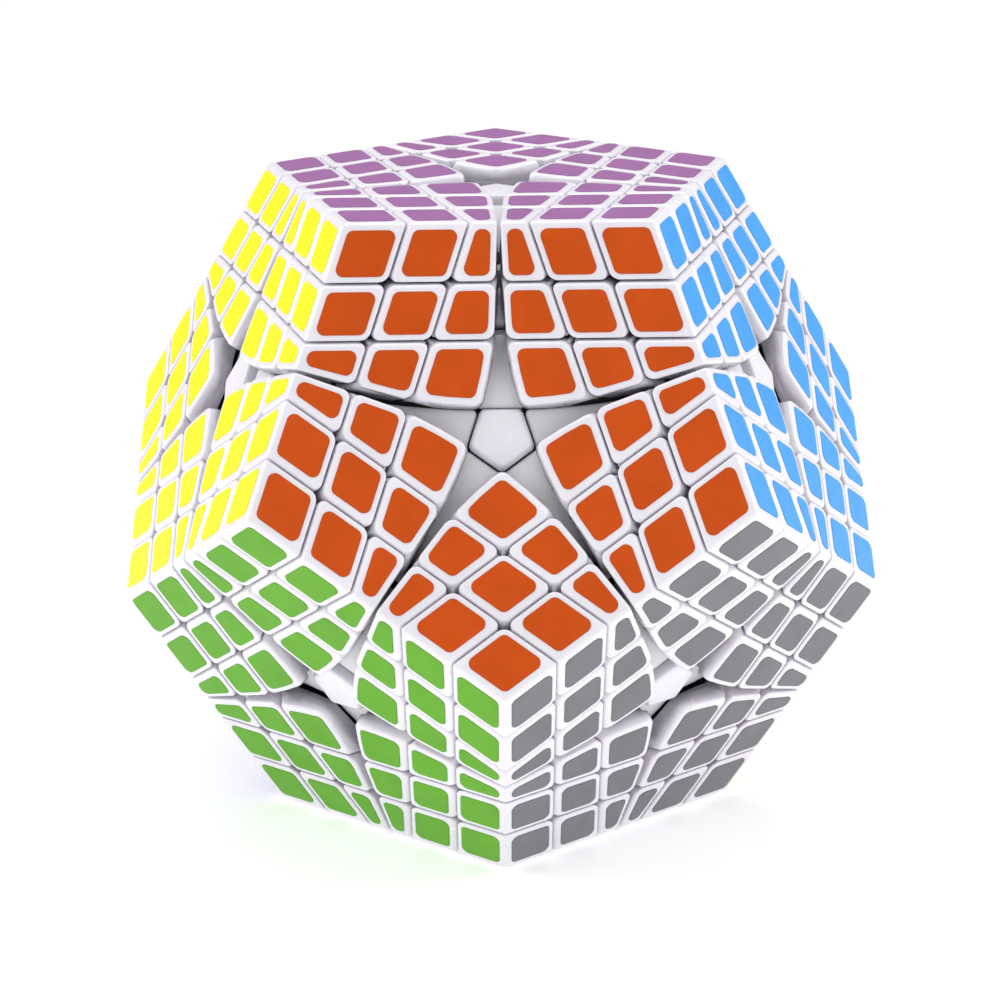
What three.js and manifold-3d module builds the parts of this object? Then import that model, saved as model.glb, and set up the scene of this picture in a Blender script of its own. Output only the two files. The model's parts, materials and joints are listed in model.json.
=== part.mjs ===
// A six-layer dodecahedron twisty puzzle, standing on its bottom face.
// Units are millimetres and +Z is up. The origin is under the middle, on the surface it stands on.
//
// Every face has five corner blocks of three by three cubies round a small pentagonal cap.
// The two outer cuts of a face are flat. Its third cut is a cone whose tip is the puzzle's middle.
// The cones of faces that are two apart touch along a line through the middle of an edge,
// so the top stack and the bottom stack turn freely between the ten side blocks.

import * as THREE from 'three';
import { mergeVertices } from 'three/addons/utils/BufferGeometryUtils.js';
import Module from 'manifold-3d';

// ---------------------------------------------------------------- driving dimensions
const EDGE = 52; // edge of the dodecahedron
const CUT_SHARES = [0.213, 0.411]; // where the two flat cuts meet an edge, as shares of its length
const GAP = 0.3; // running gap between neighbouring pieces
const BALL_SHARE = 0.93; // the inner ball's radius, as a share of the face distance
const CORE_RADIUS = 10; // the small sphere in the middle of the core
const AXLE_RADIUS = 4; // the core's top and bottom axles
const AXLE_REACH = 50.2; // how far the axles reach from the middle
const CAP_APOTHEM = 4.7; // from a cap's middle to its side
const CAP_SINK = 2.6; // how far a cap's top lies under the face
const CAP_BEVEL = 0.5;
const CAP_CORNER = 0.9; // corner radius of a cap's outline
const STEM_RADIUS = 2.5; // a side cap's stem
const STEM_LENGTH = 12;
const GROOVE_WIDTH = 0.8; // the grooves that mark the cubies of a block
const GROOVE_DEPTH = 1.1;

const BALL_SEGMENTS = 36; // facets round a turned piece
const ARC_STEPS = 3; // facets along an arc of a turned profile
const CONE_SEGMENTS = 30;
const STEM_SEGMENTS = 12;
const FAR = 200; // past the outside of everything

// ---------------------------------------------------------------- derived dimensions
const GOLDEN = (1 + Math.sqrt(5)) / 2;
const FACE_DISTANCE = (EDGE * GOLDEN ** 2) / (2 * Math.sqrt(3 - GOLDEN));
const CIRCUMRADIUS = (EDGE * Math.sqrt(3) * GOLDEN) / 2;
const TILT = Math.atan(2); // angle between the axes of neighbouring faces
const FIFTH = (2 * Math.PI) / 5;
const DEPTH_PER_EDGE = Math.sin(FIFTH) * Math.sin(TILT); // depth under a face per distance along an edge
const CUT_HEIGHTS = CUT_SHARES.map((share) => FACE_DISTANCE - share * EDGE * DEPTH_PER_EDGE);
const CONE_ANGLE = (Math.PI - TILT) / 2; // from a face's axis to its third cut
const BALL_RADIUS = BALL_SHARE * FACE_DISTANCE;

// ---------------------------------------------------------------- solids from closed meshes
const wasm = await Module();
wasm.setup();

function solid(geometry) {
  const bare = geometry.clone();
  bare.deleteAttribute('normal');
  bare.deleteAttribute('uv');
  const merged = mergeVertices(bare, 1e-4);
  return new wasm.Manifold(
    new wasm.Mesh({
      numProp: 3,
      vertProperties: new Float32Array(merged.attributes.position.array),
      triVerts: new Uint32Array(merged.index.array),
    }),
  );
}

function geometryOf(manifold) {
  const mesh = manifold.getMesh();
  const geometry = new THREE.BufferGeometry();
  geometry.setAttribute('position', new THREE.BufferAttribute(new Float32Array(mesh.vertProperties), 3));
  geometry.setIndex(new THREE.BufferAttribute(new Uint32Array(mesh.triVerts), 1));
  geometry.computeVertexNormals();
  return geometry;
}

// ---------------------------------------------------------------- directions
function direction(tilt, azimuth) {
  return new THREE.Vector3(
    Math.sin(tilt) * Math.cos(azimuth),
    Math.sin(tilt) * Math.sin(azimuth),
    Math.cos(tilt),
  );
}

const UP = new THREE.Vector3(0, 0, 1);
const FRONT_AZIMUTH = -Math.PI / 2; // the first upper side face looks to the front
const upperNormal = (k) => direction(TILT, FRONT_AZIMUTH + k * FIFTH);
const lowerNormal = (k) => direction(Math.PI - TILT, FRONT_AZIMUTH + (k + 0.5) * FIFTH);

const turnTo = (normal) => new THREE.Quaternion().setFromUnitVectors(UP, normal);
const turnAbout = (axis, angle) => new THREE.Quaternion().setFromAxisAngle(axis, angle);

// ---------------------------------------------------------------- tools for the corner blocks
function dodecahedron(faceDistance) {
  const geometry = new THREE.DodecahedronGeometry((CIRCUMRADIUS * faceDistance) / FACE_DISTANCE);
  geometry.rotateY(-Math.atan(1 / GOLDEN));
  geometry.rotateZ(Math.PI / 2);
  return solid(geometry);
}

// The space inside a face's third cut, with its tip raised by half a gap's width.
function insideCone(normal) {
  const height = FAR;
  const cone = new THREE.ConeGeometry(height * Math.tan(CONE_ANGLE), height, CONE_SEGMENTS);
  cone.rotateX(-Math.PI / 2); // the tip now points down
  cone.translate(0, 0, height / 2 + GAP / 2 / Math.sin(CONE_ANGLE));
  cone.applyQuaternion(turnTo(normal));
  return solid(cone);
}

function slab(normal, low, high) {
  const box = new THREE.BoxGeometry(FAR, FAR, high - low);
  box.translate(0, 0, (low + high) / 2);
  box.applyQuaternion(turnTo(normal));
  return solid(box);
}

// The ball that the blocks sit on, with flat facets that clear the true sphere by a gap.
function ballHollow() {
  const detail = 3;
  const facetHalfAngle = 0.167;
  const radius = (BALL_RADIUS + GAP) / Math.cos(facetHalfAngle);
  return solid(new THREE.IcosahedronGeometry(radius, detail));
}

// The corner block at the top face's front right vertex, with grooves between its cubies.
function cornerBlock() {
  const normals = [UP, upperNormal(0), upperNormal(1)];
  let block = dodecahedron(FACE_DISTANCE);
  for (const normal of normals) {
    block = block.intersect(insideCone(normal));
  }
  block = block.subtract(ballHollow());
  const inner = dodecahedron(FACE_DISTANCE - GROOVE_DEPTH);
  for (const normal of normals) {
    for (const height of CUT_HEIGHTS) {
      const cut = slab(normal, height - GROOVE_WIDTH / 2, height + GROOVE_WIDTH / 2);
      block = block.subtract(cut.subtract(inner));
    }
  }
  return block;
}

// ---------------------------------------------------------------- turned pieces
// A closed profile of [radius, height] pairs, turned about +Z.
function turned(profile) {
  const points = profile.map(([radius, height]) => new THREE.Vector2(radius, height));
  points.push(points[0].clone());
  const geometry = new THREE.LatheGeometry(points, BALL_SEGMENTS);
  geometry.rotateX(Math.PI / 2);
  return solid(geometry);
}

// Points on a circle about the middle, between two angles measured from +Z.
function arc(radius, from, to) {
  const points = [];
  for (let step = 0; step <= ARC_STEPS; step += 1) {
    const angle = from + ((to - from) * step) / ARC_STEPS;
    points.push([radius * Math.sin(angle), radius * Math.cos(angle)]);
  }
  return points;
}

const angleAtHeight = (radius, height) => Math.acos(height / radius);
const angleAtRadius = (radius, sideways) => Math.asin(sideways / radius);

// Where a circle about the middle meets the third cut, moved sideways by half a gap.
// The sign is +1 for the piece inside the cone and -1 for the core outside it.
const angleAtCone = (radius, side) => CONE_ANGLE - side * Math.asin(GAP / 2 / radius);

// The hidden ring of one layer, between two heights.
function layerHub(low, high) {
  const bore = AXLE_RADIUS + GAP;
  const top = Math.min(high, Math.sqrt(BALL_RADIUS ** 2 - bore ** 2));
  const profile = arc(BALL_RADIUS, angleAtHeight(BALL_RADIUS, top), angleAtHeight(BALL_RADIUS, low));
  return turned([...profile.reverse(), [bore, top], [bore, low]]);
}

// The inner layer's hub fills the cone down to the core's small sphere.
function innerHub(high) {
  const bore = AXLE_RADIUS + GAP;
  const hollow = CORE_RADIUS + GAP;
  const outside = arc(BALL_RADIUS, angleAtCone(BALL_RADIUS, 1), angleAtHeight(BALL_RADIUS, high));
  const inside = arc(hollow, angleAtRadius(hollow, bore), angleAtCone(hollow, 1));
  return turned([...outside, [bore, high], ...inside]);
}

// The core: a waisted ball between the two cones, a small sphere and two axles.
function coreBody() {
  const coneAtCore = angleAtCone(CORE_RADIUS, -1);
  const coneAtBall = angleAtCone(BALL_RADIUS, -1);
  const axleAtCore = angleAtRadius(CORE_RADIUS, AXLE_RADIUS);
  const upper = arc(CORE_RADIUS, coneAtCore, axleAtCore);
  const lower = arc(CORE_RADIUS, Math.PI - axleAtCore, Math.PI - coneAtCore);
  const waist = arc(BALL_RADIUS, Math.PI - coneAtBall, coneAtBall);
  return turned([
    [0, -AXLE_REACH],
    [AXLE_RADIUS, -AXLE_REACH],
    ...lower,
    ...waist,
    ...upper,
    [AXLE_RADIUS, AXLE_REACH],
    [0, AXLE_REACH],
  ]);
}

function stemHole(normal) {
  const radius = STEM_RADIUS + GAP;
  const depth = STEM_LENGTH + GAP;
  const hole = new THREE.CylinderGeometry(radius, radius, depth + GROOVE_DEPTH, STEM_SEGMENTS);
  hole.rotateX(Math.PI / 2);
  hole.translate(0, 0, BALL_RADIUS - (depth - GROOVE_DEPTH) / 2);
  hole.applyQuaternion(turnTo(normal));
  return solid(hole);
}

// ---------------------------------------------------------------- caps
function roundedPentagon(apothem, cornerRadius) {
  const shape = new THREE.Shape();
  const centreRadius = (apothem - cornerRadius) / Math.cos(Math.PI / 5);
  for (let corner = 0; corner < 5; corner += 1) {
    const middle = -Math.PI / 2 + corner * FIFTH;
    shape.absarc(
      centreRadius * Math.cos(middle),
      centreRadius * Math.sin(middle),
      cornerRadius,
      middle - FIFTH / 2,
      middle + FIFTH / 2,
      false,
    );
  }
  shape.closePath();
  return shape;
}

// A cap on +Z: a bevelled pentagon just above the ball, on a round stem.
function cap(stemRadius, stemEnd) {
  const low = BALL_RADIUS + GAP;
  const high = FACE_DISTANCE - CAP_SINK;
  const head = new THREE.ExtrudeGeometry(roundedPentagon(CAP_APOTHEM - CAP_BEVEL, CAP_CORNER), {
    depth: high - low - 2 * CAP_BEVEL,
    bevelThickness: CAP_BEVEL,
    bevelSize: CAP_BEVEL,
    bevelSegments: 1,
    curveSegments: 2,
  });
  head.translate(0, 0, low + CAP_BEVEL);
  const stemTop = (low + high) / 2;
  const stem = new THREE.CylinderGeometry(stemRadius, stemRadius, stemTop - stemEnd, STEM_SEGMENTS);
  stem.rotateX(Math.PI / 2);
  stem.translate(0, 0, (stemTop + stemEnd) / 2);
  return solid(head).add(solid(stem));
}

// ---------------------------------------------------------------- materials
const whitePlastic = () => new THREE.MeshStandardMaterial({ color: 0xeeeaf0, roughness: 0.25, metalness: 0 });
const hubPlastic = () => new THREE.MeshStandardMaterial({ color: 0xd8d6dc, roughness: 0.3, metalness: 0 });

function piece(name, geometry, material, quaternion) {
  const mesh = new THREE.Mesh(geometry, material);
  mesh.name = name;
  if (quaternion) {
    mesh.quaternion.copy(quaternion);
  }
  return mesh;
}

// ---------------------------------------------------------------- the puzzle
const puzzle = new THREE.Group();
puzzle.position.z = FACE_DISTANCE;

const [outerCut, middleCut] = CUT_HEIGHTS;
const LAYERS = [
  { name: 'outer', low: outerCut + GAP / 2, high: BALL_RADIUS },
  { name: 'middle', low: middleCut + GAP / 2, high: outerCut - GAP / 2 },
  { name: 'inner', low: -FAR, high: middleCut - GAP / 2 },
];

const block = cornerBlock();

// A stack of three layers on +Z, each with a hub and five corner pieces.
function layerStack(side) {
  const stack = new THREE.Group();
  for (const layer of LAYERS) {
    const outermost = layer.name === 'outer';
    const slice = block.intersect(slab(UP, layer.low, outermost ? FAR : layer.high));
    const geometry = geometryOf(slice);
    for (let k = 0; k < 5; k += 1) {
      const name = `${side}_${layer.name}_corner_${k + 1}`;
      stack.add(piece(name, geometry, whitePlastic(), turnAbout(UP, k * FIFTH)));
    }
    const hub = layer.name === 'inner' ? innerHub(layer.high) : layerHub(layer.low, layer.high);
    stack.add(piece(`${side}_${layer.name}_hub`, geometryOf(hub), hubPlastic()));
  }
  const stackCap = cap(AXLE_RADIUS, AXLE_REACH + GAP);
  const facingBack = turnAbout(UP, Math.PI); // lines the cap's pentagon up with its face
  stack.add(piece(`${side}_cap`, geometryOf(stackCap), whitePlastic(), facingBack));
  return stack;
}

puzzle.add(layerStack('top'));

const bottomStack = layerStack('bottom');
const flipAxis = direction(Math.PI / 2, FRONT_AZIMUTH + FIFTH / 4);
bottomStack.quaternion.copy(turnAbout(flipAxis, Math.PI));
puzzle.add(bottomStack);

// Ten side blocks: round each upper side face, one and two places clockwise from the top vertex.
const blockGeometry = geometryOf(block);
const SIDE_RINGS = [
  { name: 'upper_side_corner', places: 1 },
  { name: 'lower_side_corner', places: 2 },
];
for (const ring of SIDE_RINGS) {
  const down = turnAbout(upperNormal(0), -ring.places * FIFTH);
  for (let k = 0; k < 5; k += 1) {
    const place = turnAbout(UP, k * FIFTH).multiply(down);
    puzzle.add(piece(`${ring.name}_${k + 1}`, blockGeometry, whitePlastic(), place));
  }
}

// Ten side caps, their pentagons lined up with their faces, and the holes for their stems.
const sideCap = geometryOf(cap(STEM_RADIUS, BALL_RADIUS - STEM_LENGTH));
let core = coreBody();
for (let k = 0; k < 5; k += 1) {
  core = core.subtract(stemHole(upperNormal(k))).subtract(stemHole(lowerNormal(k)));
  const fromFront = turnAbout(UP, k * FIFTH);
  const tiltDown = turnAbout(new THREE.Vector3(1, 0, 0), TILT);
  const upright = fromFront.clone().multiply(tiltDown);
  puzzle.add(piece(`upper_side_cap_${k + 1}`, sideCap, whitePlastic(), upright));
  const flipped = turnAbout(flipAxis, Math.PI).multiply(upright);
  puzzle.add(piece(`lower_side_cap_${k + 1}`, sideCap, whitePlastic(), flipped));
}
puzzle.add(piece('core', geometryOf(core), hubPlastic()));

export default puzzle;
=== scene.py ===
"""The looks of a six-layer dodecahedron twisty puzzle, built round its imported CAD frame.

Shapes are worked out in millimetres about the puzzle's middle and put into the frame at the end.
One corner block is made of nineteen cubies, and every block is a turned copy of that one.
"""
import json
import math
from itertools import combinations

import bmesh
import bpy
from mathutils import Matrix, Vector

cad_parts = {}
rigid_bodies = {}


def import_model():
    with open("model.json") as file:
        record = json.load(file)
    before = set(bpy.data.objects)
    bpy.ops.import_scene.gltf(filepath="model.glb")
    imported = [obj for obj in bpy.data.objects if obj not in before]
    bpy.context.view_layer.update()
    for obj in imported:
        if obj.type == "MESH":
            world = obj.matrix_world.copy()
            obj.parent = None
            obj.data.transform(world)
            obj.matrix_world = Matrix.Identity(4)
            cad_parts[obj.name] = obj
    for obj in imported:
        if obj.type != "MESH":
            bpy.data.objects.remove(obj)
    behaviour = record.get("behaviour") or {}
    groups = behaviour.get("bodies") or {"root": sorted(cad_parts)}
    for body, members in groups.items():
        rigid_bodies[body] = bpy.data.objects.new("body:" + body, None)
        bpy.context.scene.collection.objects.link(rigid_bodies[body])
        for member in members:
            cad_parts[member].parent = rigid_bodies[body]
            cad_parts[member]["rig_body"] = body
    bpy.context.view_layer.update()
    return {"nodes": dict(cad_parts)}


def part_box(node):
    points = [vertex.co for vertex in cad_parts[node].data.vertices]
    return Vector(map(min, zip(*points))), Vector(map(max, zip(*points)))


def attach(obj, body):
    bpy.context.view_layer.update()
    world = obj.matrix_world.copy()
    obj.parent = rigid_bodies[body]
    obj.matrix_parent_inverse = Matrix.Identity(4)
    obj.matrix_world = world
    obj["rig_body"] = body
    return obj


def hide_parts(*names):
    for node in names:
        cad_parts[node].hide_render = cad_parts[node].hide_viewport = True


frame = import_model()

# ---------------------------------------------------------------- sizes, in millimetres
MM = 0.001
CAD_GAP = 0.3  # the running gap that the CAD nodes leave
CUBIE_GAP = 0.36  # the gap seen between neighbouring cubies
FLATS_INSET = 0.14  # keeps the corners between a cone's flats inside the cone
STICKER_HEIGHT = 0.1  # how far a sticker stands on its cubie
STICKER_SUNK = 0.12  # how far its sides reach into the cubie
STICKER_BEVEL = 0.04
STICKER_RIM = 0.3  # the width of its slightly darker rim
OUTLINE_WIDTH = 2.7  # across a cubie's rounded corner, seen from above
OUTLINE_STEPS = 5
ARC_STEP = 0.2  # radians, between the points of a rounded flat outline
RIM = 0.55  # the soft rim round a cubie's top
RIM_STEPS = 3
EDGE_MARGIN = 1.25  # from a sticker to an edge of the dodecahedron
CUT_MARGIN = 1.07  # from a sticker to its cubie's other sides
STICKER_CORNER = 1.25
CUBIE_FLOOR = 55.6  # cubies with one sticker end this far from the middle
FOOT_FLOOR = 54.3  # and the feet under those by a star end here
FOOT_INSET = 0.2
FOOT_DEPTH = 1.4  # from a face to the top of a foot, which is hidden in its cubie
BACKING_INSET = 1.1
BACKING_RISE = 2.2  # how far the dark backing, painted shade behind the gaps, reaches above the outer cut
PETAL_TOP = 53.9
PETAL_FOOT = 52.3
PETAL_BEVEL = 0.45
PETAL_SOFT_INSET, PETAL_SOFT_DROP = 0.13, 0.15  # the point halfway round a petal's bevel
PETAL_LEAST = 0.005  # a petal's least half width, on a plane one unit from the middle
BALL_SCALE = 0.965  # the shown ball lies under the petals
CAP_RINGS = [(4.75, 51.6), (4.75, 53.7), (4.68, 54.35), (4.5, 54.85), (4.22, 55.15), (3.85, 55.3)]
CAP_CORNER = 1.05
CAP_CORNER_SHARE = 0.6  # how fast a cap's corners tighten as its rings draw in

# How near counts as touching, in millimetres.
OUTSIDE = 1e-4
SAME = 1e-3
ON_PLANE = 2e-3

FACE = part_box("top_outer_corner_1")[1].z / 2 / MM  # from the middle to a face
GOLDEN = (1 + math.sqrt(5)) / 2
EDGE = 2 * FACE * math.sqrt(3 - GOLDEN) / GOLDEN**2
TILT = math.atan(2)  # between the axes of neighbouring faces
FIFTH = 2 * math.pi / 5
FRONT = -math.pi / 2


def cut_height(node):
    """Where the flat cut under a node of the top stack lies, above the middle."""
    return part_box(node)[0].z / MM - FACE - CAD_GAP / 2


OUTER_CUT = cut_height("top_outer_corner_1")
MIDDLE_CUT = cut_height("top_middle_corner_1")

# The third cut is a cone about a face's axis. It passes through the midpoints of the edges that
# leave that face's corners, and its tip lies a little behind the middle.
MIDPOINT_RADIUS = EDGE * GOLDEN**2 / 2
MIDPOINT_ANGLE = (math.pi - TILT) / 2
CONE_ANGLE = math.radians(54)
CONE_TIP = MIDPOINT_RADIUS * (math.cos(MIDPOINT_ANGLE) - math.sin(MIDPOINT_ANGLE) / math.tan(CONE_ANGLE))


# ---------------------------------------------------------------- directions
def direction(tilt, azimuth):
    return Vector((math.sin(tilt) * math.cos(azimuth), math.sin(tilt) * math.sin(azimuth), math.cos(tilt)))


UP = Vector((0, 0, 1))
UPPER = [direction(TILT, FRONT + k * FIFTH) for k in range(5)]
LOWER = [direction(math.pi - TILT, FRONT + (k + 0.5) * FIFTH) for k in range(5)]
NORMALS = [UP, *UPPER, *LOWER, -UP]
COLOURS = [
    "purple",
    "orange", "light_blue", "dark_green", "white", "yellow",
    "grey", "cream", "red", "dark_blue", "lime",
    "pink",
]
TOP, BOTTOM = 0, len(NORMALS) - 1  # their indices among the faces
LAYER_NAMES = ("outer", "middle", "inner")  # a stack's layers, from its face inwards
BLOCK_FACES = [UP, UPPER[0], UPPER[1]]  # the three faces round the block that is made first
BLOCK_VERTEX = sum(BLOCK_FACES, Vector()).normalized()


def turn(axis, angle):
    return Matrix.Rotation(angle, 3, axis)


# ---------------------------------------------------------------- convex solids from planes
class Plane:
    """Keeps what lies behind it. The kind says whether it is a face, a flat cut or a cone's flat."""

    def __init__(self, kind, normal, distance):
        self.kind = kind
        self.normal = normal
        self.distance = distance

    def height(self, point):
        return self.normal.dot(point) - self.distance


def corners_of(planes):
    """The corner points of the solid behind all the planes."""
    corners = []
    for trio in combinations(planes, 3):
        matrix = Matrix([plane.normal for plane in trio])
        if abs(matrix.determinant()) < 1e-5:
            continue
        point = matrix.inverted() @ Vector([plane.distance for plane in trio])
        if max(plane.height(point) for plane in planes) > OUTSIDE:
            continue
        if all((point - other).length > SAME for other in corners):
            corners.append(point)
    return corners


def around(points, normal):
    """The points in order about the normal, anticlockwise."""
    middle = sum(points, Vector()) / len(points)
    across = (points[0] - middle).normalized()
    up = normal.cross(across)
    return sorted(points, key=lambda p: math.atan2((p - middle).dot(up), (p - middle).dot(across)))


def polyhedron(planes):
    """A bmesh of the solid behind all the planes."""
    corners = corners_of(planes)
    shape = bmesh.new()
    vertices = {index: shape.verts.new(point) for index, point in enumerate(corners)}
    for plane in planes:
        touching = [i for i, point in enumerate(corners) if abs(plane.height(point)) < SAME]
        if len(touching) < 3:
            continue
        order = around([corners[i] for i in touching], plane.normal)
        loop = [vertices[next(i for i in touching if corners[i] == point)] for point in order]
        shape.faces.new(loop)
    return shape


def kind_of(planes, face):
    """The kind of the plane that a face lies on, or round for a face made by rounding."""
    for plane in planes:
        if all(abs(plane.height(vertex.co)) < ON_PLANE for vertex in face.verts):
            return plane.kind
    return "round"


def kinds(planes, edge):
    return [kind_of(planes, face) for face in edge.link_faces]


def on_top(planes, point):
    return any(plane.kind.startswith("face") and abs(plane.height(point)) < ON_PLANE for plane in planes)


def outline_corner(planes, edge):
    """Whether an edge is a cubie's corner as seen from above: two walls that meet under a face."""
    if not any(on_top(planes, vertex.co) for vertex in edge.verts):
        return False
    pair = kinds(planes, edge)
    if len(pair) < 2 or pair[0] == pair[1]:
        return False
    return not any(kind.startswith("face") or kind == "round" for kind in pair)


def round_outline(shape, planes):
    """Rounds the outline corners, about equally as seen from above."""
    edges = [edge for edge in shape.edges if outline_corner(planes, edge)]
    bmesh.ops.bevel(
        shape, geom=edges, offset=OUTLINE_WIDTH, offset_type="WIDTH", segments=OUTLINE_STEPS,
        profile=0.5, affect="EDGES", clamp_overlap=False,
    )
    keep_behind(shape, planes)


def keep_behind(shape, planes):
    """Moves back, plane by plane, the points that rounding a deep corner pushed past a plane."""
    for vertex in shape.verts:
        for plane in planes:
            past = plane.height(vertex.co)
            if past > 0:
                vertex.co -= plane.normal * past


def soften_rim(shape, planes):
    edges = [edge for edge in shape.edges if any(kind.startswith("face") for kind in kinds(planes, edge))]
    bmesh.ops.bevel(
        shape, geom=edges, offset=RIM, offset_type="OFFSET", segments=RIM_STEPS,
        profile=0.5, affect="EDGES", clamp_overlap=True,
    )


class Shell:
    """A list of points and faces, ready to be copied into a piece."""

    def __init__(self, points, faces, material=0, rims=None):
        self.points = points
        self.faces = faces
        self.material = material
        self.rims = rims or [0.0] * len(points)

    @classmethod
    def of_bmesh(cls, shape, material=0):
        shape.verts.index_update()
        points = [vertex.co.copy() for vertex in shape.verts]
        faces = [[vertex.index for vertex in face.verts] for face in shape.faces]
        shape.free()
        return cls(points, faces, material)


# ---------------------------------------------------------------- the third cut
def tangent(kind, axis, outwards, angle, tip, gap):
    """The plane that touches a cone about the axis, along the generator that leans outwards."""
    normal = math.cos(angle) * outwards - math.sin(angle) * axis
    return Plane(kind, normal, -math.sin(angle) * tip - gap)


def outwards_at(axis, azimuth):
    """A unit vector square to the axis, turned by the azimuth from the block's vertex."""
    ahead = (BLOCK_VERTEX - BLOCK_VERTEX.dot(axis) * axis).normalized()
    return math.cos(azimuth) * ahead + math.sin(azimuth) * axis.cross(ahead)


def side_of(axis, other):
    """+1 or -1: on which side of the block's vertex a neighbouring face lies, seen along the axis."""
    return math.copysign(1, other.dot(outwards_at(axis, math.pi / 2)))


def on_cut(azimuth):
    """Where the first face's third cut meets the second face, at an azimuth."""
    axis, face = BLOCK_FACES[0], BLOCK_FACES[1]
    outwards = outwards_at(axis, side_of(axis, face) * azimuth)
    along = math.cos(CONE_ANGLE) * axis + math.sin(CONE_ANGLE) * outwards
    start = axis * CONE_TIP
    return start + along * ((FACE - face.dot(start)) / face.dot(along))


def azimuth_where(measure):
    """The azimuth at which a falling measure of the point on the cut reaches zero."""
    low, high = 0.0, FIFTH / 2
    for _ in range(40):
        middle = (low + high) / 2
        if measure(on_cut(middle)) > 0:
            low = middle
        else:
            high = middle
    return low


def inside_third_face(point):
    height = point.dot(BLOCK_FACES[2])
    return (height - CONE_TIP) * math.tan(CONE_ANGLE) - math.sqrt(point.length_squared - height**2)


# The azimuths at which the three columns of cubies begin and end, along the third cut.
COLUMNS = [
    0.0,
    azimuth_where(lambda point: point.dot(BLOCK_FACES[2]) - OUTER_CUT),
    azimuth_where(lambda point: point.dot(BLOCK_FACES[2]) - MIDDLE_CUT),
    azimuth_where(inside_third_face),
]


def cone_planes(i, layers, angle, tip, gap):
    """The flats that stand for the third cut of face i along one cubie."""
    axis = BLOCK_FACES[i]
    others = [j for j in range(3) if j != i]
    azimuths = []
    for face, column in (others, others[::-1]):
        if layers[face] != 0:
            continue
        side = side_of(axis, BLOCK_FACES[face])
        low, high = COLUMNS[layers[column]], COLUMNS[layers[column] + 1]
        shares = (2 / 3,) if layers[column] == 0 else (0.25, 0.75)
        azimuths += [side * (low + share * (high - low)) for share in shares]
    if all(layers[j] == 0 for j in others):
        azimuths.append(0.0)
    return [tangent(f"cone{i}", axis, outwards_at(axis, azimuth), angle, tip, gap) for azimuth in azimuths]


def midpoint_plane(i, gap):
    """The flat on a block's side of an edge's midpoint that faces the cone of the stack across it."""
    axis = BLOCK_FACES[i]
    midpoint = sum((BLOCK_FACES[j] for j in range(3) if j != i), Vector()).normalized()
    across = 2 * midpoint.dot(axis) * midpoint - axis
    outwards = (midpoint - midpoint.dot(across) * across).normalized()
    other = tangent("", across, outwards, CONE_ANGLE, CONE_TIP, 0)
    return Plane(f"cone{i}", -other.normal, -other.distance - gap)


# ---------------------------------------------------------------- cubies
def layer_planes(i, layer, gap):
    """The flat cuts on both sides of one layer under face i."""
    normal = BLOCK_FACES[i]
    if layer == 0:
        return [Plane(f"low{i}", -normal, -(OUTER_CUT + gap))]
    if layer == 1:
        return [Plane(f"high{i}", normal, OUTER_CUT - gap), Plane(f"low{i}", -normal, -(MIDDLE_CUT + gap))]
    return [Plane(f"high{i}", normal, MIDDLE_CUT - gap)]


def cubie_planes(layers):
    gap = CUBIE_GAP / 2
    planes = []
    for i, layer in enumerate(layers):
        if layer == 0:
            planes.append(Plane(f"face{i}", BLOCK_FACES[i], FACE - STICKER_HEIGHT))
        planes += layer_planes(i, layer, gap)
        if layer == 2:
            planes += cone_planes(i, layers, CONE_ANGLE, CONE_TIP, gap + FLATS_INSET)
            planes.append(midpoint_plane(i, gap))
    return planes


def with_floor(planes, radius):
    """Adds a flat that keeps the solid clear of the ball."""
    tops = [plane for plane in planes if plane.kind.startswith("face")]
    corners = corners_of(planes)
    upper = [point for point in corners if any(abs(top.height(point)) < SAME for top in tops)]
    towards = sum(upper, Vector()).normalized()
    return [*planes, Plane("floor", -towards, -radius)]


def foot(layers):
    """A cubie's foot, a little inside its walls, down to the ball."""
    gap = CUBIE_GAP / 2 + FOOT_INSET
    planes = []
    for i, layer in enumerate(layers):
        if layer == 0:
            planes.append(Plane(f"face{i}", BLOCK_FACES[i], FACE - FOOT_DEPTH))
        planes += layer_planes(i, layer, gap)
        if layer == 2:
            planes += cone_planes(i, layers, MIDPOINT_ANGLE, 0, gap)
    return Shell.of_bmesh(polyhedron(with_floor(planes, FOOT_FLOOR)))


# ---------------------------------------------------------------- flat outlines
def clip(outline, normal, distance):
    """The part of a flat convex outline that lies behind a plane."""
    kept = []
    for here, there in zip(outline, outline[1:] + outline[:1]):
        above_here, above_there = normal.dot(here) - distance, normal.dot(there) - distance
        if above_here <= 0:
            kept.append(here)
        if above_here * above_there < 0:
            kept.append(here.lerp(there, above_here / (above_here - above_there)))
    return kept


def rounded(outline, normal, radius):
    """The outline grown by a radius, with round corners."""
    result = []
    count = len(outline)
    for index, corner in enumerate(outline):
        before = (corner - outline[index - 1]).normalized()
        after = (outline[(index + 1) % count] - corner).normalized()
        start = before.cross(normal)
        bend = before.angle(after)
        amount = max(1, round(bend / ARC_STEP))
        for step in range(amount + 1):
            result.append(corner + turn(normal, bend * step / amount) @ start * radius)
    return result


def inner_outline(planes, top, radius):
    """The flat outline on one face of a cubie, this far inside its sticker's margins."""
    outline = around([p for p in corners_of(planes) if abs(top.height(p)) < SAME], top.normal)
    for plane in planes:
        if plane is top:
            continue
        flat = plane.normal - plane.normal.dot(top.normal) * top.normal
        if flat.length < 0.05:
            continue
        distance = (plane.distance - plane.normal.dot(top.normal) * top.distance) / flat.length
        margin = EDGE_MARGIN if plane.kind.startswith("face") else CUT_MARGIN
        outline = clip(outline, flat.normalized(), distance - margin - radius)
    return [p for i, p in enumerate(outline) if (p - outline[i - 1]).length > 0.02]


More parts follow.
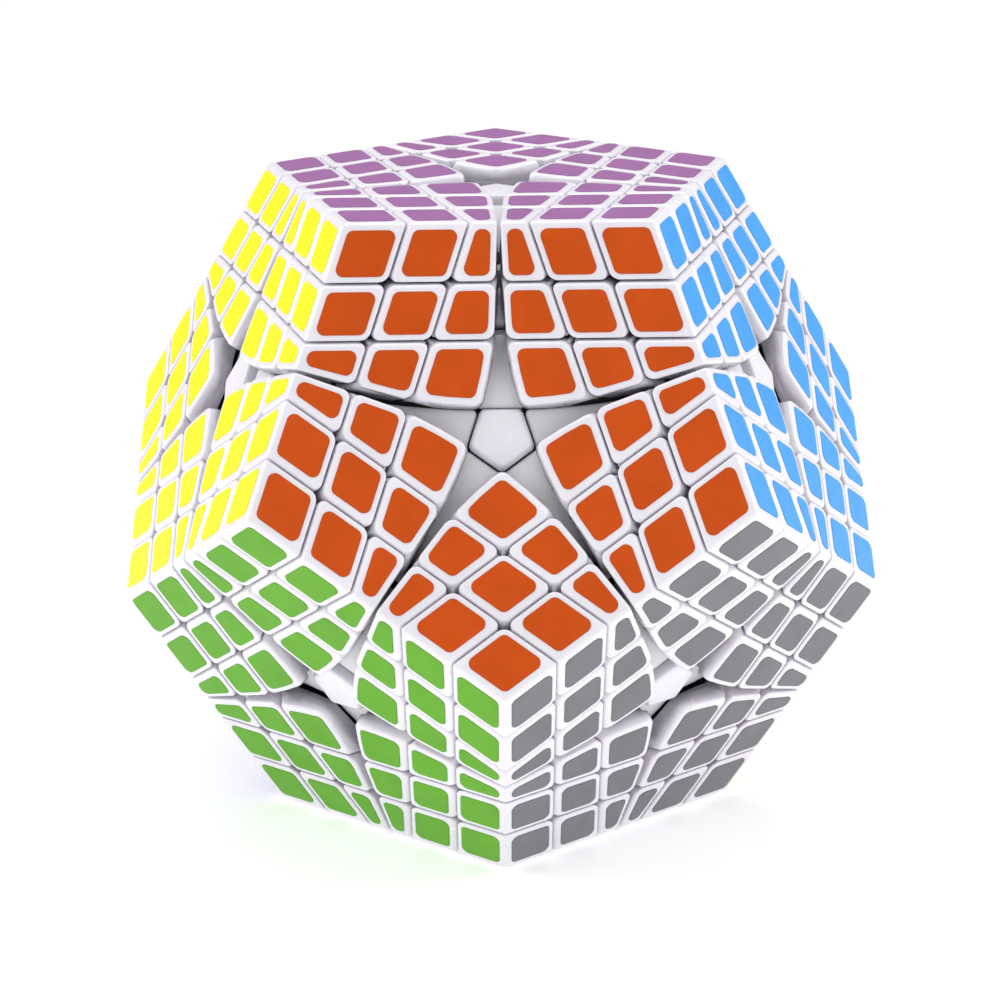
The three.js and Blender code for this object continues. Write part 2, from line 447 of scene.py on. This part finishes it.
def sticker(planes, top):
    """A thin rounded tile on one face of a cubie, inside the cubie's other planes."""
    radius = STICKER_CORNER
    outline = inner_outline(planes, top, radius)
    while len(outline) < 3:
        radius *= 0.9
        outline = inner_outline(planes, top, radius)
    rings = [
        (0.0, -STICKER_SUNK, 1.0),
        (0.0, STICKER_HEIGHT - STICKER_BEVEL, 1.0),
        (STICKER_BEVEL, STICKER_HEIGHT, 1.0),
        (STICKER_RIM, STICKER_HEIGHT, 0.0),
    ]
    points, rims = [], []
    for inset, rise, rim in rings:
        ring = rounded(outline, top.normal, radius - inset)
        points += [point + top.normal * rise for point in ring]
        rims += [rim] * len(ring)
    return Shell(points, ring_faces(len(ring), len(rings)), 0, rims)


def ring_faces(count, rings):
    """The sides between stacked rings of points, and the two ends."""
    faces = [list(range(count))[::-1]]
    for ring in range(rings - 1):
        low, high = ring * count, (ring + 1) * count
        for step in range(count):
            after = (step + 1) % count
            faces.append([low + step, low + after, high + after, high + step])
    faces.append([(rings - 1) * count + step for step in range(count)])
    return faces


# ---------------------------------------------------------------- the block, made once
def backing(stack_layer):
    """A dark body behind the gaps of a block, or of one layer's slice of it, hollowed for the ball:
    painted shade for the shade deep in the gaps.
    """
    gap = CUBIE_GAP / 2 + BACKING_INSET
    planes = [Plane(f"top{i}", normal, OUTER_CUT + BACKING_RISE) for i, normal in enumerate(BLOCK_FACES)]
    for i, axis in enumerate(BLOCK_FACES):
        for step in range(-3, 4):
            outwards = outwards_at(axis, step * COLUMNS[3] / 3)
            planes.append(tangent(f"cone{i}", axis, outwards, MIDPOINT_ANGLE, 0, gap))
    if stack_layer is not None:
        planes += layer_planes(0, stack_layer, gap)
    solid = object_of("backing", [Shell.of_bmesh(polyhedron(planes), 1)], Matrix.Identity(3), 1)
    ball_mesh = bpy.data.meshes.new("ball")
    ball_shape = bmesh.new()
    bmesh.ops.create_icosphere(ball_shape, subdivisions=4, radius=FOOT_FLOOR)
    ball_shape.to_mesh(ball_mesh)
    ball_shape.free()
    ball = bpy.data.objects.new("ball", ball_mesh)
    bpy.context.scene.collection.objects.link(ball)
    cut = solid.modifiers.new("hollow", "BOOLEAN")
    cut.operation = "DIFFERENCE"
    cut.solver = "EXACT"
    cut.object = ball
    bpy.context.view_layer.update()
    result = solid.evaluated_get(bpy.context.evaluated_depsgraph_get()).to_mesh()
    points = [vertex.co.copy() for vertex in result.vertices]
    faces = [list(polygon.vertices) for polygon in result.polygons]
    for made in (solid, ball):
        bpy.data.objects.remove(made)
    return Shell(points, faces, 1)


def smooth_normals(mesh):
    """Normals that follow the large flats, so that only the rounded rims shade softly."""
    sums = [Vector() for _ in mesh.vertices]
    for polygon in mesh.polygons:
        weighted = polygon.normal * polygon.area
        for index in polygon.vertices:
            sums[index] += weighted
    for polygon in mesh.polygons:
        polygon.use_smooth = True
    mesh.normals_split_custom_set_from_vertices([total.normalized() for total in sums])


def object_of(name, shells, rotation, scale=MM, lift=0.0):
    """One object from many shells, turned, scaled and lifted into the frame."""
    points, faces, materials, rims = [], [], [], []
    for shell in shells:
        start = len(points)
        points += [(rotation @ point) * scale + Vector((0, 0, lift)) for point in shell.points]
        faces += [[start + index for index in face] for face in shell.faces]
        materials += [shell.material] * len(shell.faces)
        rims += shell.rims
    mesh = bpy.data.meshes.new(name)
    mesh.from_pydata(points, [], faces)
    mesh.polygons.foreach_set("material_index", materials)
    if any(rims):
        mesh.attributes.new("rim", "FLOAT", "POINT").data.foreach_set("value", rims)
    mesh.update()
    smooth_normals(mesh)
    made = bpy.data.objects.new(name, mesh)
    bpy.context.scene.collection.objects.link(made)
    return made


class Cubie:
    """One cubie of the first block: its layer under each of the block's faces, its shells and stickers."""

    def __init__(self, layers):
        self.layers = layers
        planes = cubie_planes(layers)
        if layers.count(0) == 1:
            planes = with_floor(planes, CUBIE_FLOOR)
        self.stickers = {}
        for plane in planes:
            if plane.kind.startswith("face"):
                self.stickers[int(plane.kind[-1])] = sticker(planes, plane)
        shape = polyhedron(planes)
        round_outline(shape, planes)
        soften_rim(shape, planes)
        self.shells = [Shell.of_bmesh(shape)]
        if layers.count(0) == 1 and 2 in layers:
            self.shells.append(foot(layers))


CUBIES = [
    Cubie((a, b, c))
    for a in range(3) for b in range(3) for c in range(3)
    if 0 in (a, b, c)
]
BACKINGS = {layer: backing(layer) for layer in (None, 0, 1, 2)}


# ---------------------------------------------------------------- materials
def srgb(red, green, blue):
    """A linear colour from the 0 to 255 values of a display."""
    values = []
    for value in (red, green, blue):
        value /= 255
        values.append(value / 12.92 if value <= 0.04045 else ((value + 0.055) / 1.055) ** 2.4)
    return (*values, 1.0)


class Nodes:
    """Small helpers for one material's nodes."""

    def __init__(self, name):
        self.material = bpy.data.materials.new(name)
        self.material.use_nodes = True
        self.tree = self.material.node_tree
        self.shader = self.tree.nodes["Principled BSDF"]
        self.coordinates = self.tree.nodes.new("ShaderNodeTexCoord")

    def link(self, output, target):
        self.tree.links.new(output, target)

    def noise(self, scale, detail=3.0, roughness=0.5):
        node = self.tree.nodes.new("ShaderNodeTexNoise")
        node.inputs["Scale"].default_value = scale
        node.inputs["Detail"].default_value = detail
        node.inputs["Roughness"].default_value = roughness
        self.link(self.coordinates.outputs["Object"], node.inputs["Vector"])
        return node.outputs["Fac"]

    def ramp(self, source, low, high, to_low, to_high):
        node = self.tree.nodes.new("ShaderNodeMapRange")
        for name, value in zip(("From Min", "From Max", "To Min", "To Max"), (low, high, to_low, to_high)):
            node.inputs[name].default_value = value
        self.link(source, node.inputs["Value"])
        return node.outputs["Result"]

    def mix(self, amount, first, second):
        node = self.tree.nodes.new("ShaderNodeMix")
        node.data_type = "RGBA"
        self.link(amount, node.inputs["Factor"])
        for socket, value in (("A", first), ("B", second)):
            target = next(i for i in node.inputs if i.name == socket and i.type == "RGBA")
            if isinstance(value, tuple):
                target.default_value = value
            else:
                self.link(value, target)
        return next(o for o in node.outputs if o.type == "RGBA")

    def bump(self, height, strength, distance):
        node = self.tree.nodes.new("ShaderNodeBump")
        node.inputs["Strength"].default_value = strength
        node.inputs["Distance"].default_value = distance
        self.link(height, node.inputs["Height"])
        self.link(node.outputs["Normal"], self.shader.inputs["Normal"])


def plastic(name, light, dark, smoothest, roughest):
    """Moulded glossy plastic with a faint flow pattern and slightly uneven gloss."""
    nodes = Nodes(name)
    flow = nodes.ramp(nodes.noise(60, 4), 0.35, 0.65, 0, 1)
    nodes.link(nodes.mix(flow, light, dark), nodes.shader.inputs["Base Color"])
    gloss = nodes.ramp(nodes.noise(170, 3), 0.3, 0.7, smoothest, roughest)
    nodes.link(gloss, nodes.shader.inputs["Roughness"])
    nodes.bump(nodes.noise(900, 2), 0.12, 0.00003)
    nodes.shader.inputs["IOR"].default_value = 1.5
    return nodes.material


def vinyl(name, colour):
    """Sticker film: a satin colour coat with fine grain, darker towards its edge."""
    nodes = Nodes(name)
    deep = tuple(value * 0.9 for value in colour[:3]) + (1.0,)
    edge = tuple(value * 0.72 for value in colour[:3]) + (1.0,)
    mottle = nodes.ramp(nodes.noise(120, 4, 0.6), 0.35, 0.65, 0, 1)
    body = nodes.mix(mottle, colour, deep)
    rim = nodes.tree.nodes.new("ShaderNodeAttribute")
    rim.attribute_name = "rim"
    shade = nodes.ramp(rim.outputs["Fac"], 0.5, 1.0, 0.0, 0.8)
    nodes.link(nodes.mix(shade, body, edge), nodes.shader.inputs["Base Color"])
    gloss = nodes.ramp(nodes.noise(260, 3), 0.3, 0.7, 0.34, 0.46)
    nodes.link(gloss, nodes.shader.inputs["Roughness"])
    nodes.bump(nodes.noise(1400, 2), 0.15, 0.00003)
    nodes.shader.inputs["IOR"].default_value = 1.48
    nodes.shader.inputs["Specular IOR Level"].default_value = 0.25
    return nodes.material


STICKER_COLOURS = {
    "purple": (156, 102, 158),
    "orange": (200, 76, 3),
    "light_blue": (66, 156, 232),
    "dark_green": (14, 104, 52),
    "white": (226, 226, 224),
    "yellow": (253, 242, 10),
    "grey": (114, 113, 119),
    "cream": (238, 226, 160),
    "red": (186, 20, 26),
    "dark_blue": (20, 46, 142),
    "lime": (92, 164, 16),
    "pink": (232, 112, 160),
}
white_plastic = plastic("white_plastic", srgb(231, 228, 236), srgb(225, 222, 230), 0.2, 0.3)
# The petals get a lighter copy of the cubies' white: painted light that offsets the shade in the star's
# well.
inner_plastic = plastic("inner_plastic", srgb(244, 242, 246), srgb(238, 236, 241), 0.12, 0.2)
# Painted shade: this dark plastic, on the backing in the cubies' gaps and on the ball under the petals,
# stands in for the shade there.
shadow_plastic = plastic("shadow_plastic", srgb(112, 105, 106), srgb(96, 90, 92), 0.45, 0.6)
stickers = {name: vinyl(f"{name}_vinyl", srgb(*rgb)) for name, rgb in STICKER_COLOURS.items()}


# ---------------------------------------------------------------- putting pieces in place
LIFT = FACE * MM


def body_of(node):
    return frame["nodes"][node]["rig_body"]


STILL = Matrix.Identity(3)


def place(name, shells, rotation, body, materials, node=None):
    """A finished piece that rides on a body, and stands for a CAD node if one is given."""
    made = object_of(name, shells, rotation, MM, LIFT)
    for material in materials:
        made.data.materials.append(material)
    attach(made, body)
    if node:
        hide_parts(node)


def nearest_face(vector):
    """The index of the face whose axis is nearest to a direction."""
    return max(range(len(NORMALS)), key=lambda index: NORMALS[index].dot(vector))


# Turns the top half of the puzzle onto the bottom half.
FLIP = turn(direction(math.pi / 2, FRONT + FIFTH / 4), math.pi)


def block_places():
    """Every corner node of the CAD model, how the first block turns into it, and its stack layer."""
    for k in range(5):
        about = turn(UP, k * FIFTH)
        for layer, name in enumerate(LAYER_NAMES):
            yield f"top_{name}_corner_{k + 1}", about, layer
            yield f"bottom_{name}_corner_{k + 1}", FLIP @ about, layer
        for ring, places in (("upper", 1), ("lower", 2)):
            yield f"{ring}_side_corner_{k + 1}", about @ turn(UPPER[0], -places * FIFTH), None


sticker_groups = {}
for node, rotation, stack_layer in block_places():
    chosen = [cubie for cubie in CUBIES if stack_layer is None or cubie.layers[0] == stack_layer]
    shells = [shell for cubie in chosen for shell in cubie.shells]
    # The backing goes in dark, as painted shade behind the gaps.
    shells.append(BACKINGS[stack_layer])
    place(
        f"{node}_cubies", shells, rotation, body_of(node), [white_plastic, shadow_plastic],
        node,
    )
    for cubie in chosen:
        for index, tile in cubie.stickers.items():
            face = nearest_face(rotation @ BLOCK_FACES[index])
            turned = Shell([rotation @ p for p in tile.points], tile.faces, 0, tile.rims)
            sticker_groups.setdefault((face, body_of(node)), []).append(turned)

for (face, body), tiles in sorted(sticker_groups.items()):
    colour = COLOURS[face]
    place(f"{colour}_stickers_{body}", tiles, STILL, body, [stickers[colour]])


# ---------------------------------------------------------------- caps
def neighbours_of(face):
    """The indices of the five faces round a face."""
    return [other for other in range(len(NORMALS)) if 0.4 < NORMALS[other].dot(NORMALS[face]) < 0.5]


def face_axes(face):
    """A face's own axes: towards a neighbouring face, square to that, and outwards."""
    normal = NORMALS[face]
    first = NORMALS[neighbours_of(face)[0]]
    towards = (first - first.dot(normal) * normal).normalized()
    return towards, normal.cross(towards), normal


def pentagon(apothem, corner, height, axes):
    """A rounded pentagon square to a face's axis, its sides facing the neighbouring faces."""
    towards, across, normal = axes
    radius = (apothem - corner) / math.cos(FIFTH / 2)
    points = []
    for k in range(5):
        angle = (k + 0.5) * FIFTH
        points.append(normal * height + radius * (math.cos(angle) * towards + math.sin(angle) * across))
    return rounded(points, normal, corner)


def cap_shell(face):
    axes = face_axes(face)
    points = []
    for apothem, height in CAP_RINGS:
        corner = CAP_CORNER - (CAP_RINGS[0][0] - apothem) * CAP_CORNER_SHARE
        ring = pentagon(apothem, corner, height, axes)
        points += ring
    count = len(ring)
    return Shell(points, ring_faces(count, len(CAP_RINGS)))


def cap_nodes():
    """Every cap's CAD node and its face."""
    yield "top_cap", TOP
    yield "bottom_cap", BOTTOM
    for k in range(5):
        yield f"upper_side_cap_{k + 1}", nearest_face(UPPER[k])
        yield f"lower_side_cap_{k + 1}", nearest_face(FLIP @ UPPER[k])


for node, face in cap_nodes():
    place(f"{node}_head", [cap_shell(face)], STILL, body_of(node), [white_plastic], node)


# ---------------------------------------------------------------- petals
PETAL_CORNER = 1.3 / FACE
UNDER_CUBIES = math.radians(0.9)  # how far a petal's side reaches under the cubies beside it
CLEAR_OF_TURN = math.radians(-0.1)  # or stays clear of what turns past it

# Where petals start and end, in degrees from their face's axis.
PETAL_START = 5.4
LONG_PETAL = 28.0
STACK_PETAL = 20.4  # ends inside the inner layer
SLICE_PETAL = (21.4, 36.8)  # lies inside the middle layer
CROWN_PETAL = 25.0  # ends inside the outer layer


def half_width(along, widening):
    """How wide a petal is on one side, on a plane one unit from the middle."""
    limit = math.cos(MIDPOINT_ANGLE - widening) ** 2
    cosine = math.cos(TILT)
    slope = (cosine - cosine**2) / math.sin(TILT)
    side = math.sqrt(1 - cosine**2 - slope**2)
    level = cosine + slope * along
    a = side**2 - limit
    b = 2 * level * side
    c = level**2 - limit * (1 + along**2)
    root = math.sqrt(max(b * b - 4 * a * c, 0))
    return (-b + root) / (2 * a)


def petal_section(sides, drop):
    """One cut across a petal: how far across each point lies, and its distance from the middle."""
    unit = 1 / PETAL_TOP
    most = (sides[0] + sides[1]) * 0.3
    bevel = [
        (0.0, PETAL_FOOT),
        (0.0, PETAL_TOP - PETAL_BEVEL - drop),
        (PETAL_SOFT_INSET, PETAL_TOP - PETAL_SOFT_DROP - drop),
        (PETAL_BEVEL, PETAL_TOP - drop),
    ]
    left, right = (side - PETAL_BEVEL * unit for side in sides)
    section = [(sides[0] - min(inset * unit, most), radius) for inset, radius in bevel]
    section += [(left * (1 - share) - right * share, PETAL_TOP - drop) for share in (0.25, 0.5, 0.75)]
    section += [(-sides[1] + min(inset * unit, most), radius) for inset, radius in bevel[::-1]]
    return section


def petal(face, towards_face, start_angle, end_angle, widenings):
    """One raised leaf on the ball, from a cap towards a neighbouring face."""
    normal, other = NORMALS[face], NORMALS[towards_face]
    ahead = (other - other.dot(normal) * normal).normalized()
    left = normal.cross(ahead)
    unit = 1 / PETAL_TOP
    start, end = math.tan(math.radians(start_angle)), math.tan(math.radians(end_angle))
    body = start + PETAL_CORNER
    stations = [
        (start, PETAL_BEVEL),
        (start + PETAL_SOFT_INSET * unit, PETAL_SOFT_DROP),
        (start + PETAL_BEVEL * unit, 0.0),
    ]
    stations += [(start + PETAL_CORNER * share, 0.0) for share in (0.55, 0.8, 1.0)]
    stations += [(body + (end - body) * step / 10, 0.0) for step in range(1, 11)]
    points = []
    for along, drop in stations:
        short = max(body - along, 0)
        rounding = PETAL_CORNER - math.sqrt(max(PETAL_CORNER**2 - short**2, 0))
        sides = [max(half_width(along, widening) - rounding, PETAL_LEAST) for widening in widenings]
        section = petal_section(sides, drop)
        for across, radius in section:
            points.append((normal + ahead * along + left * across).normalized() * radius)
    faces = ring_faces(len(section), len(stations))
    return Shell(points, [loop[::-1] for loop in faces])


petal_groups = {}
for face in range(len(NORMALS)):
    for other in neighbours_of(face):
        shared = [third for third in neighbours_of(face) if third in neighbours_of(other)]
        ahead = NORMALS[other] - NORMALS[other].dot(NORMALS[face]) * NORMALS[face]
        left = NORMALS[face].cross(ahead)
        shared.sort(key=lambda third: -NORMALS[third].dot(left))
        if face in (TOP, BOTTOM):
            body = "top_outer_layer" if face == TOP else "bottom_outer_layer"
            end = CROWN_PETAL
        elif other in (TOP, BOTTOM):
            body = "top_inner_layer" if other == TOP else "bottom_inner_layer"
            end = STACK_PETAL
        else:
            body = "middle"
            end = LONG_PETAL
        widenings = [CLEAR_OF_TURN if third in (TOP, BOTTOM) else UNDER_CUBIES for third in shared]
        petal_groups.setdefault((face, body), []).append(petal(face, other, PETAL_START, end, widenings))
        if other in (TOP, BOTTOM):
            slice_body = "top_middle_layer" if other == TOP else "bottom_middle_layer"
            leaf = petal(face, other, *SLICE_PETAL, [UNDER_CUBIES, UNDER_CUBIES])
            petal_groups.setdefault((face, slice_body), []).append(leaf)

for (face, body), leaves in sorted(petal_groups.items()):
    place(f"{COLOURS[face]}_petals_{body}", leaves, STILL, body, [inner_plastic])


# ---------------------------------------------------------------- the ball under the petals
def shrunken_copy(node):
    """A node of the ball, drawn in towards the middle so that it lies under the petals."""
    source = frame["nodes"][node].data
    middle = Vector((0, 0, LIFT))
    points = [(vertex.co - middle) / MM * BALL_SCALE for vertex in source.vertices]
    merged, index_of, kept = {}, [], []
    for point in points:
        key = tuple(round(value, 3) for value in point)
        if key not in merged:
            merged[key] = len(kept)
            kept.append(point)
        index_of.append(merged[key])
    faces = []
    for polygon in source.polygons:
        loop = [index_of[index] for index in polygon.vertices]
        if len(set(loop)) == len(loop):
            faces.append(loop)
    return Shell(kept, faces)


HUBS = [f"{side}_{layer}_hub" for side in ("top", "bottom") for layer in LAYER_NAMES]
for node in ["core", *HUBS]:
    shells = [shrunken_copy(node)]
    # The ball goes in the dark shadow plastic, as painted shade under the petals.
    place(f"{node}_ball", shells, STILL, body_of(node), [shadow_plastic], node)


# ---------------------------------------------------------------- floor, light and camera
def floor_material():
    nodes = Nodes("floor_paper")
    tone = nodes.ramp(nodes.noise(3, 2), 0.3, 0.7, 0, 1)
    colour = nodes.mix(tone, (0.93, 0.93, 0.93, 1), (0.95, 0.95, 0.95, 1))
    nodes.link(colour, nodes.shader.inputs["Base Color"])
    nodes.shader.inputs["Roughness"].default_value = 0.55
    nodes.shader.inputs["Emission Color"].default_value = (1, 1, 1, 1)
    nodes.shader.inputs["Emission Strength"].default_value = 0.3
    return nodes.material


def add_floor():
    half = 0.5
    below = -0.0002  # just under the puzzle's bottom stickers
    mesh = bpy.data.meshes.new("floor")
    corners = [(-half, -half, below), (half, -half, below), (half, half, below), (-half, half, below)]
    mesh.from_pydata(corners, [], [(0, 1, 2, 3)])
    floor = bpy.data.objects.new("floor", mesh)
    bpy.context.scene.collection.objects.link(floor)
    mesh.materials.append(floor_material())


def add_light(name, position, size, power):
    """A square softbox that faces the puzzle's middle."""
    data = bpy.data.lights.new(name, "AREA")
    data.shape = "SQUARE"
    data.size = size
    data.energy = power
    light = bpy.data.objects.new(name, data)
    light.location = position
    towards = Vector((0, 0, LIFT)) - Vector(position)
    light.rotation_euler = towards.to_track_quat("-Z", "Y").to_euler()
    bpy.context.scene.collection.objects.link(light)


def add_world(strength, backdrop):
    """A white backdrop that lights the puzzle less brightly than it shows."""
    world = bpy.data.worlds.new("studio")
    bpy.context.scene.world = world
    world.use_nodes = True
    tree = world.node_tree
    background = tree.nodes["Background"]
    background.inputs["Color"].default_value = (1, 1, 1, 1)
    path = tree.nodes.new("ShaderNodeLightPath")
    power = tree.nodes.new("ShaderNodeMapRange")
    power.inputs["To Min"].default_value = strength
    power.inputs["To Max"].default_value = backdrop
    tree.links.new(path.outputs["Is Camera Ray"], power.inputs["Value"])
    tree.links.new(power.outputs["Result"], background.inputs["Strength"])


def add_camera():
    """The camera looks at the puzzle's middle, a little from above."""
    azimuth, elevation, roll = math.radians(-0.37), math.radians(18.97), math.radians(-0.61)
    distance = 8.406 * FACE * MM
    outwards = Vector((
        math.sin(azimuth) * math.cos(elevation),
        -math.cos(azimuth) * math.cos(elevation),
        math.sin(elevation),
    ))
    sideways = (-outwards).cross(UP).normalized()
    upwards = sideways.cross(-outwards)
    right = sideways * math.cos(roll) + upwards * math.sin(roll)
    up = upwards * math.cos(roll) - sideways * math.sin(roll)
    data = bpy.data.cameras.new("camera")
    data.lens = 93.94
    data.sensor_width = 36
    data.shift_y = -0.0197
    data.clip_start = 0.01
    camera = bpy.data.objects.new("camera", data)
    turned = Matrix((right, up, outwards)).transposed().to_4x4()
    camera.matrix_world = Matrix.Translation(outwards * distance + Vector((0, 0, LIFT))) @ turned
    bpy.context.scene.collection.objects.link(camera)
    bpy.context.scene.camera = camera


add_floor()
add_light("top_softbox", (0.0, 0.1, 1.1), 0.9, 7.5)
add_light("left_softbox", (-1.1, 0.1, 0.5), 0.8, 8)
add_light("right_softbox", (1.1, 0.1, 0.5), 0.8, 8)
add_light("front_left_fill", (-0.7, -1.0, 0.5), 0.8, 3)
add_light("front_right_fill", (0.7, -1.0, 0.5), 0.8, 3)
add_world(0.3, 1.05)
add_camera()
bpy.context.scene.view_settings.view_transform = "Standard"
